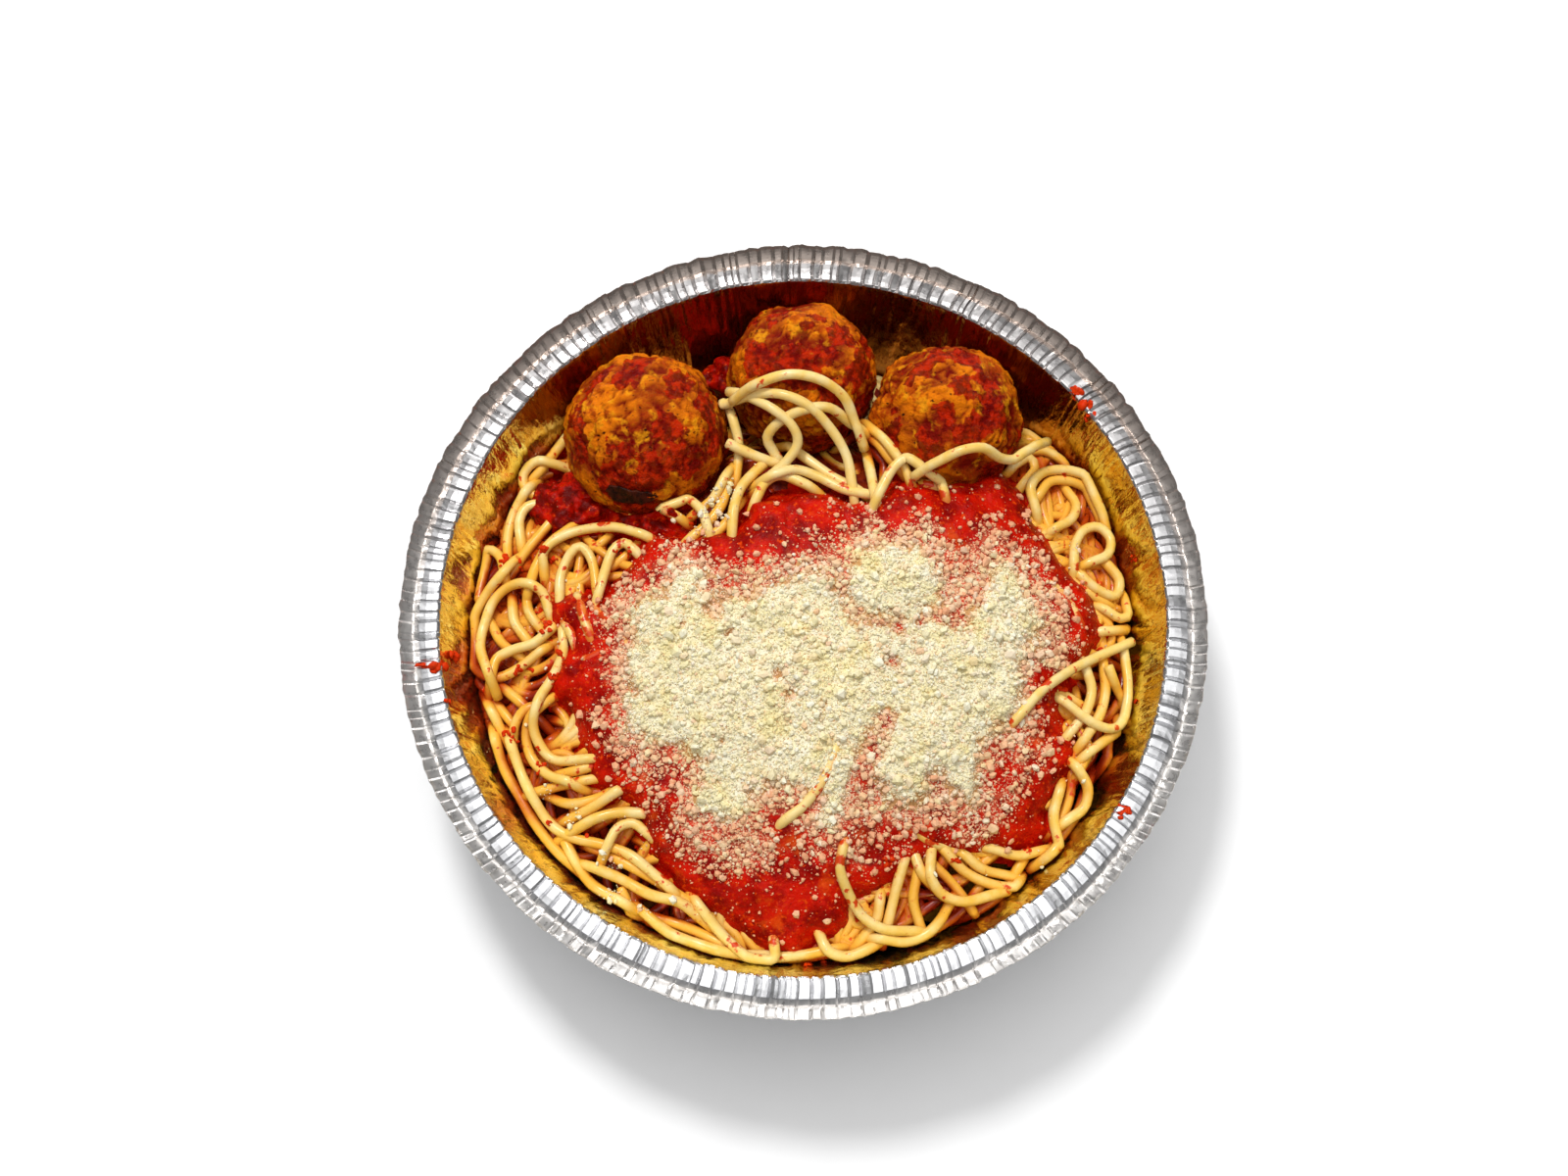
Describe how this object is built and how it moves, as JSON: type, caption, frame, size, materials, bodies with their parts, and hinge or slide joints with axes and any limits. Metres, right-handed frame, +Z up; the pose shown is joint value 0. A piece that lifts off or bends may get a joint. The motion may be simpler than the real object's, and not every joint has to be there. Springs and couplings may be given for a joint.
{
  "type": "spaghetti and meatballs",
  "caption": "Spaghetti heap with tomato sauce, grated cheese and meatballs in a round crimped aluminium foil take-out pan.",
  "frame": {"origin": "centre of the pan's base, on the surface it stands on", "axes": "+Z up through the pan's mouth, +Y towards the meatballs at the back, +X to the right seen from the near side"},
  "size_m": [0.1838, 0.1838, 0.0526],
  "materials": {
    "foil": "bright, crimped and fluted",
    "pasta": "moist, with an oily sheen",
    "meat": "browned and coarse",
    "sauce": "wet and grainy",
    "cheese": "dry crumbs",
    "leaf": "cooked and wrinkled"
  },
  "bodies": {
    "root": {"foil_pan": "foil", "spaghetti_heap": "pasta", "meatball_left": "meat", "meatball_back": "meat", "meatball_right": "meat", "tomato_sauce": "sauce", "sauce_clump_left": "sauce", "sauce_clump_back": "sauce", "grated_cheese": "cheese", "dark_leaf_fragment": "leaf"}
  },
  "joints": []
}
